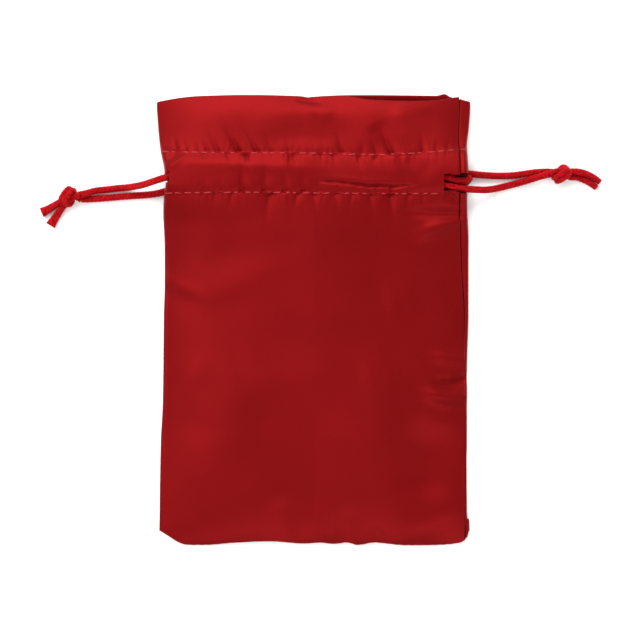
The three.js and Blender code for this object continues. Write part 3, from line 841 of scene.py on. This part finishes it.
def back_height(x, y):
    """The back panel's height: flat on the table, lifted a little by its own folds, rows and seams."""
    lift = np.zeros(np.shape(x)) + BACK_REST
    for height, width, points in BACK_FOLDS:
        away, _ = near_line(x, y, points)
        lift += height * bell(away, width)
    lift += row_pinch(x, y, BACK_ROW_LIFT, 1.3)
    chance = np.random.default_rng(9)
    for row in (upper_row(x), lower_row(x)):
        for place in np.arange(-47, 47, STITCH_PITCH * 0.75):
            at, depth = place + chance.uniform(-0.9, 0.9), chance.uniform(0.1, 0.5)
            half, reach = chance.uniform(0.6, 1.3), chance.uniform(1.6, 4.5)
            lift += depth * bell(x - at, half) * np.exp(-np.abs(y - row) / reach)
    rise = np.clip((y - CURL_START) / CURL_LENGTH, 0, 1)
    lift += MOUTH_CURL * bell(x - CURL_X, CURL_WIDTH) * rise**2
    bottom = np.clip((y - curve(BOTTOM, x)) / 3.0, 0, 1)
    return lift + BOTTOM_LIFT * (1 - bottom) ** 2


def ply_gap(x, y, full):
    """How far the inner ply stays above or below the outer one."""
    return PLY_GAP + (full - PLY_GAP) * channel_share(x, y) ** GAP_POWER


# ---------------------------------------------------------------- cloth as grids of points

ROLL_STEPS = 9
UNDER_STEPS = 5
# Where a row's place up the bag is read for the bag's sides and for the right seam.
NEAR_SIDE = 49.5
NEAR_SEAM = 47.5
# The body's rows are closer together below and above these distances from the bottom seam.
FINE_BELOW = 5.0
FINE_ABOVE = 104.0
BODY_LENGTH = 114.6
HEADER_LENGTH = 18.5
MOUTH_FULLNESS = 1.3


def shares(length, step):
    """Even shares from 0 to 1 of a length, about a step apart."""
    return np.linspace(0, 1, max(2, int(round(length / step)) + 1))


def between(low, high, share):
    """The row that lies a share of the way from one row to another."""
    return lambda x: low(x) + share * (high(x) - low(x))


class Section:
    """The bag's cross-section at each row of a grid, as columns of points for one ply."""

    def __init__(self, row, inner):
        self.row, self.inner = row, inner

    def top(self, x):
        y = self.row(x)
        z = front_height(x, y)
        return x, y, z - ply_gap(x, y, TUNNEL + PLY_GAP) if self.inner else z

    def under(self, x):
        y = self.row(x)
        z = back_height(x, y)
        return x, y, z + ply_gap(x, y, TUNNEL + PLY_GAP) if self.inner else z

    def side(self, sign):
        """The outermost x on one side, and where the roll begins on the flat."""
        table = RIGHT_SIDE if sign > 0 else LEFT_SIDE
        x = np.full(1, sign * NEAR_SIDE)
        y = self.row(x)
        outer = curve(table, y)
        if self.inner:
            gap = LEAST_SIDE_GAP + (SIDE_GAP - LEAST_SIDE_GAP) * channel_share(x, y) ** GAP_POWER
            outer = outer - sign * gap
        return float(outer[0]), float((outer - sign * curve(SIDE_ROLL, y))[0])

    def roll(self, sign):
        """Points round the side, from underneath to the top."""
        outer, flat = self.side(sign)
        _, y_low, z_low = self.under(np.full(1, flat))
        _, y_high, z_high = self.top(np.full(1, flat))
        angle = np.linspace(-math.pi / 2, math.pi / 2, ROLL_STEPS + 2)[1:-1]
        x = flat + (outer - flat) * np.cos(angle)
        z = (z_low + z_high) / 2 + (z_high - z_low) / 2 * np.sin(angle)
        y = self.row(x) if not self.inner else y_low + (y_high - y_low) * (np.sin(angle) + 1) / 2
        return x, y, z

    def seam_x(self):
        x = np.full(1, NEAR_SEAM)
        return float(curve(RIGHT_SEAM, self.row(x))[0])


def ended_in_seam(parts, x):
    """The points of a row's parts, then points that go down into the right seam's groove."""
    _, y, z = (float(values[-1]) for values in parts[-1])
    depth = np.array([0.3, 0.65, 1.0]) * min(SEAM_TUCK, (z - SEAM_FLOOR) * SEAM_SHARE)
    parts.append((np.full(3, x), np.full(3, y), z - depth))
    return np.concatenate([np.stack(part, axis=-1) for part in parts])


def front_columns(section, top_x):
    """The front panel's points at one row: from the left seam underneath, round the side, over the
    top to the right seam, and down into it. top_x are shares of the way from side to seam."""
    _, flat = section.side(-1)
    seam = section.seam_x()
    under_x = np.linspace(LEFT_SEAM_X, flat, UNDER_STEPS)
    x = np.where(top_x < 0, -top_x * flat, top_x * seam)
    return ended_in_seam([section.under(under_x), section.roll(-1), section.top(x)], seam + TUCK_SHIFT)


def back_columns(section, under_share):
    """The back panel's points at one row: from the left seam, under the bag, round the right side and
    back over the top as a strip to the right seam."""
    _, flat = section.side(1)
    seam = section.seam_x() + SEAM_GAP
    x = np.where(under_share < 0, -under_share * (LEFT_SEAM_X + LEFT_SEAM_GAP), under_share * flat)
    strip_x = np.linspace(flat, seam, UNDER_STEPS + 2)
    strip = section.top(strip_x)
    strip[2][:] -= STRIP_DROP * np.linspace(0, 1, len(strip_x))
    return ended_in_seam([section.under(x), section.roll(1), strip], seam - TUCK_SHIFT)


def panel_grid(columns, across, mouth, tops):
    """Rows of points for a panel: its body, or its channel and header with the ply turned in."""
    def ply_rows(at, low, high, inner):
        return [columns(Section(between(low, high, share), inner), across) for share in at]

    bottom_edge = lambda x: curve(BOTTOM, x)
    mouth_edge = lambda x: curve(mouth, x)
    if not tops:
        low = np.linspace(0, 1, 11)[:-1] * FINE_BELOW
        mid = np.linspace(FINE_BELOW, FINE_ABOVE, 86)[:-1]
        high = np.linspace(FINE_ABOVE, BODY_LENGTH, 25)
        at = np.concatenate([low, mid, high]) / BODY_LENGTH
        return np.array(ply_rows(at, bottom_edge, lower_row, False))
    channel = UPPER_ROW_Y - LOWER_ROW_Y
    rows = ply_rows(shares(channel, 0.42)[:-1], lower_row, upper_row, False)
    rows += ply_rows(shares(HEADER_LENGTH, 0.45), upper_row, mouth_edge, False)
    turned = ply_rows(shares(HEADER_LENGTH, 0.7)[::-1], upper_row, mouth_edge, True)
    turned += ply_rows(shares(channel, 0.6)[::-1][1:], lower_row, upper_row, True)
    for share in shares(HEM_ALLOWANCE, 0.7)[1:]:
        hem_row = lambda x, s=share: lower_row(x) - s * HEM_ALLOWANCE
        turned.append(columns(Section(hem_row, True), across))
    outer, inner = rows[-1], turned[0]
    fold = []
    reach = np.linalg.norm(inner - outer, axis=1)[:, None] / 2
    for angle in np.linspace(0, math.pi, 8)[1:-1]:
        middle_of = (outer + inner) / 2 + (outer - inner) / 2 * math.cos(angle)
        fold.append(middle_of + np.array([0, 1.0, 0]) * reach * math.sin(angle) * MOUTH_FULLNESS)
    return np.array(rows + fold + turned)


def flat_coordinates(grid, start):
    """Where each point of a grid lies on its cloth laid flat, in millimetres across and up."""
    rows, cols = grid.shape[:2]
    up = np.linalg.norm(np.diff(grid[:, cols // 2], axis=0), axis=-1)
    over = np.linalg.norm(np.diff(grid[rows // 2], axis=0), axis=-1)
    up, over = (np.concatenate([[0], np.cumsum(step)]) for step in (up, over))
    return np.stack(np.broadcast_arrays(over, start + up[:, None]), axis=-1)


def cloth_part(grid, flat, kept, thick=CLOTH_THICK):
    """A closed piece of cloth of even thickness on a grid of points, where kept marks its cells."""
    rows, cols = grid.shape[:2]
    along, across = np.gradient(grid, axis=0), np.gradient(grid, axis=1)
    normal = np.cross(across, along)
    normal /= np.maximum(np.linalg.norm(normal, axis=-1), 1e-9)[..., None]
    outer, inner = grid + normal * thick / 2, grid - normal * thick / 2
    points = np.concatenate([outer.reshape(-1, 3), inner.reshape(-1, 3)])
    flat = np.concatenate([flat.reshape(-1, 2)] * 2)
    index = np.arange(rows * cols).reshape(rows, cols)
    a, b, c, d = index[:-1, :-1][kept], index[:-1, 1:][kept], index[1:, 1:][kept], index[1:, :-1][kept]
    upper = np.stack([a, b, c, d], axis=-1)
    lower = np.stack([d, c, b, a], axis=-1) + rows * cols
    edges = np.concatenate([np.stack(pair, axis=-1) for pair in ((a, b), (b, c), (c, d), (d, a))])
    key = np.sort(edges, axis=1)
    _, inverse, count = np.unique(key, axis=0, return_inverse=True, return_counts=True)
    rim = edges[count[inverse.ravel()] == 1]
    sides = np.stack([rim[:, 1], rim[:, 0], rim[:, 0] + rows * cols, rim[:, 1] + rows * cols], axis=-1)
    used = np.unique(np.concatenate([upper.ravel(), lower.ravel()]))
    renumber = np.zeros(len(points), int)
    renumber[used] = np.arange(len(used))
    return points[used], [renumber[upper], renumber[lower], renumber[sides]], flat[used]


def sharpen_rims(made, rim_from):
    """Keeps the cloth's cut edges crisp, so that its faces shade smoothly up to them."""
    data = made.data
    loops, polygons = len(data.loops), len(data.polygons)
    edge_of = np.zeros(loops, np.int32)
    data.loops.foreach_get("edge_index", edge_of)
    start = np.zeros(polygons, np.int32)
    data.polygons.foreach_get("loop_start", start)
    polygon_of = np.searchsorted(start, np.arange(loops), side="right") - 1
    is_rim = polygon_of >= rim_from
    on_rim = np.bincount(edge_of[is_rim], minlength=len(data.edges)) > 0
    on_face = np.bincount(edge_of[~is_rim], minlength=len(data.edges)) > 0
    data.edges.foreach_set("use_edge_sharp", on_rim & on_face)


def make_cloth(name, grid, flat, kept, material):
    part = cloth_part(grid, flat, kept)
    made = make_object(name, [part], material)
    sharpen_rims(made, len(part[1][0]) + len(part[1][1]))
    return made


# ---------------------------------------------------------------- the panels

FRONT_ACROSS = np.concatenate([np.linspace(-1, 0, 104)[:-1], np.linspace(0, 1, 104)])
BACK_ACROSS = np.concatenate([np.linspace(-1, 0, 76)[:-1], np.linspace(0, 1, 80)])
# Each slit: the x beyond which the cloth is cut, and between which places up the bag. One called low is a
# slit's part on the rolled side, from SLIT_FLOOR up to the height given last. All but the strip's go through
# the outer ply only.
FRONT_LEFT_SLIT = (-46.8, 45.0, 48.2)
FRONT_LEFT_SLIT_LOW = (-44, 40.8, 49.8, 3.8)
FRONT_RIGHT_SLIT = (42.4, 41.9, 47.3)
STRIP_SLIT = (46, 41.3, 47.9)
BACK_RIGHT_SLIT_LOW = (48.2, 43.0, 50.0, 3.6)
SLIT_FLOOR = 0.8
# Where the cords pass round the bag's sides: the x beyond which the cloth is open, then between which places
# up the bag, and for the left side between which heights. At the right seam this cuts the inner ply only,
# because the slit has opened the outer one.
FRONT_SEAM_OPENING = (44.0, 41.3, 47.9)
SIDE_OPENING = (-42.4, 43.1, 50.2, 3.2, 8.0)


def cell_middles(grid):
    return (grid[:-1, :-1] + grid[1:, 1:]) / 2


def outer_rows(grid):
    """Which rows of cells belong to the outer ply: those before the turned-in ply's first row."""
    turn = int(np.argmax(grid[:, grid.shape[1] // 2, 1]))
    return (np.arange(grid.shape[0] - 1) < turn)[:, None]


def inside(value, low, high):
    return (value > low) & (value < high)


def in_side_opening(x, y, z):
    edge, low, high, under, over = SIDE_OPENING
    return (x < edge) & inside(y, low, high) & inside(z, under, over)


def front_top_kept(grid):
    """Which cells of the front panel's top are cloth, and not slit or opening."""
    x, y, z = np.moveaxis(cell_middles(grid), -1, 0)
    outer = outer_rows(grid)
    low_edge, low_start, low_end, low_top = FRONT_LEFT_SLIT_LOW
    edge, low, high = FRONT_LEFT_SLIT
    cut = (x < edge) & inside(y, low, high) & (z > low_top)
    cut |= (x < low_edge) & inside(z, SLIT_FLOOR, low_top) & inside(y, low_start, low_end)
    edge, low, high = FRONT_RIGHT_SLIT
    cut |= (x > edge) & inside(y, low, high)
    edge, low, high = FRONT_SEAM_OPENING
    inner_cut = (x > edge) & inside(y, low, high)
    return ~(cut & outer | inner_cut & ~outer | in_side_opening(x, y, z))


def back_top_kept(grid):
    """Which cells of the back panel's top are cloth. The strip's slit goes through both plies."""
    x, y, z = np.moveaxis(cell_middles(grid), -1, 0)
    outer = outer_rows(grid)
    low_edge, low_start, low_end, low_top = BACK_RIGHT_SLIT_LOW
    edge, low, high = STRIP_SLIT
    both = (x > edge) & (z > low_top) & inside(y, low, high)
    cut = (x > low_edge) & inside(z, SLIT_FLOOR, low_top) & inside(y, low_start, low_end)
    return ~(cut & outer | both | in_side_opening(x, y, z))


def split_at(across, extra):
    """The column where the right half begins."""
    return extra + int(np.argmin(np.abs(across)))


def gather(piece, side):
    """Bakes the piece's placement into its points; side is not used."""
    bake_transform(piece)


def make_panel(panel, columns, across, mouth, kept_top, first_columns, material):
    start = 0.0
    for part in ("body", "top"):
        grid = panel_grid(columns, across, mouth, part == "top")
        kept = kept_top(grid) if part == "top" else np.ones((grid.shape[0] - 1, grid.shape[1] - 1), bool)
        middle_column = split_at(across, first_columns)
        if panel == "back":
            grid = grid[:, ::-1]
            kept = kept[:, ::-1]
            middle_column = grid.shape[1] - 1 - middle_column
        flat = flat_coordinates(grid, start)
        start = flat[-1, 0, 1]
        halves = (slice(0, middle_column + 1), slice(middle_column, None))
        names = ("left", "right") if panel == "front" else ("right", "left")
        for side, half in zip(names, halves):
            cells = slice(half.start, half.stop - 1 if half.stop else None)
            name = f"{panel}_{part}_{side}"
            piece = make_cloth(name, grid[:, half], flat[:, half], kept[:, cells], material)
            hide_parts(f"{panel}_panel")
            gather(piece, side)


# ---------------------------------------------------------------- stitches

THREAD_RADIUS = 0.2
STITCH_LENGTH = 2.35
STITCH_SIDES = 8
SEAM_STITCH_PITCH = 2.6
STITCH_CLEARANCE = 0.02


def stitch_part(line, sink, start_at):
    """One stitch: a thread that comes up out of the cloth, runs along it and goes down again."""
    line = line_through(line, STITCH_LENGTH / 12)
    share = np.linspace(0, 1, len(line))
    line[:, 2] += sink * (np.sin(np.pi * share) ** 0.35 - 0.62)
    radius = THREAD_RADIUS * (0.7 + 0.3 * np.sin(np.pi * share) ** 0.5)
    return tube(line, radius, 1.15, start_at, STITCH_SIDES, 0.0)


def make_stitches(name, parts, node, side):
    made = make_object(name, parts, thread)
    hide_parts(node)
    gather(made, side)


def row_stitches(row, surface, sink, first, last, seed):
    """The stitches along a row, in the bag's left half and its right half."""
    chance = np.random.default_rng(seed)
    parts = {"left": [], "right": []}
    for at in np.arange(first, last, STITCH_PITCH):
        skew, slide = chance.uniform(-0.09, 0.09), chance.uniform(-0.12, 0.12)
        x = at + slide + np.linspace(-0.5, 0.5, 4) * STITCH_LENGTH * chance.uniform(0.94, 1.04)
        y = row(x) + np.linspace(-skew, skew, 4)
        line = np.stack([x, y, surface(x, y)], axis=-1)
        parts["left" if at < 0 else "right"].append(stitch_part(line, sink, at))
    return parts


def make_stitch_rows():
    half = CLOTH_THICK / 2
    front = lambda x, y: front_height(x, y) + half + STITCH_CLEARANCE
    back = lambda x, y: back_height(x, y) - half - STITCH_CLEARANCE
    rows = [
        ("front_upper", upper_row, front, 0.22, -48.2, 46.6, False),
        ("front_lower", lower_row, front, 0.22, -47.1, 42.0, True),
        ("back_upper", upper_row, back, -0.22, -44.4, 48.9, False),
        ("back_lower", lower_row, back, -0.22, -43.6, 47.6, True),
    ]
    for k, (name, row, surface, sink, first, last, low) in enumerate(rows):
        parts = row_stitches(row, surface, sink, first, last, 20 + k)
        if name == "front_upper":
            parts["right"] += strip_stitches(row, surface, sink)
        for side in ("left", "right"):
            make_stitches(f"{name}_stitches_{side}", parts[side], f"{name}_stitching", side)


def strip_stitches(row, surface, sink):
    """The upper row's last stitch, which crosses the back panel's strip beside the right seam."""
    x = np.linspace(48.0, 49.6, 4)
    y = row(x)
    return [stitch_part(np.stack([x, y, surface(x, y)], axis=-1), sink, 48.0)]


def seam_groove(y, side):
    """Where the seam thread lies in a side seam's groove."""
    if side == "right":
        x = curve(RIGHT_SEAM, y) + 0.25
        return np.stack([x, y, np.maximum(front_height(x, y) - 1.1, 2 * THREAD_RADIUS)], axis=-1)
    x = np.full(np.shape(y), LEFT_SEAM_X + 0.18)
    return np.stack([x, y, back_height(x, y) + 0.05], axis=-1)


def bottom_groove(x):
    """Where the seam thread lies along the bottom seam."""
    y = curve(BOTTOM, x) - 0.02
    return np.stack([x, y, back_height(x, y) + 0.22], axis=-1)


def seam_run(first, last, groove, sink):
    """A seam's stitches between two places along it."""
    parts = []
    for at in np.arange(first, last, SEAM_STITCH_PITCH):
        along = at + np.linspace(0, 0.8, 4) * SEAM_STITCH_PITCH
        parts.append(stitch_part(groove(along), sink, at))
    return parts


def make_seam_stitches():
    sides = {
        "left": (-70.5, lambda y: seam_groove(y, "left"), (-40.5, -3.0)),
        "right": (-70.0, lambda y: seam_groove(y, "right"), (0.2, 46.0)),
    }
    for side, (first, groove, bottom) in sides.items():
        body = seam_run(first, 39.0, groove, 0.1) + seam_run(*bottom, bottom_groove, 0.05)
        make_stitches(f"seam_stitches_{side}", body, "seam_thread", side)
        header = seam_run(56.6, 69.5, groove, 0.1)
        make_stitches(f"header_seam_stitches_{side}", header, f"{side}_header_seam_thread", side)


# ---------------------------------------------------------------- build

satin = satin_material("red_satin", (0.181, 0.0038, 0.0048), (0.125, 0.0026, 0.0032), 0.42)
# The cord's light and dark colours are the two ends of its painted shimmer and painted shade, not two dyes.
braid = cord_material("red_cord", (0.64, 0.009, 0.014), (0.03, 0.0004, 0.0006))
thread = thread_material("red_thread", (0.42, 0.031, 0.033), (0.18, 0.008, 0.009))

make_camera()
make_studio()
make_drawstring(
    "left", LEFT_RUN, (LEFT_FRONT_STRAND, LEFT_BACK_STRAND), LEFT_TAILS, "left_knot", braid,
    "left_drawstring",
)
make_drawstring(
    "right", RIGHT_RUN, (RIGHT_FRONT_STRAND, RIGHT_BACK_STRAND), RIGHT_TAILS, "right_knot", braid,
    "right_drawstring",
)
make_panel(
    "front", front_columns, FRONT_ACROSS, FRONT_MOUTH, front_top_kept, UNDER_STEPS + ROLL_STEPS, satin,
)
make_panel(
    "back", back_columns, BACK_ACROSS, BACK_MOUTH, back_top_kept, 0, satin,
)

make_stitch_rows()
make_seam_stitches()
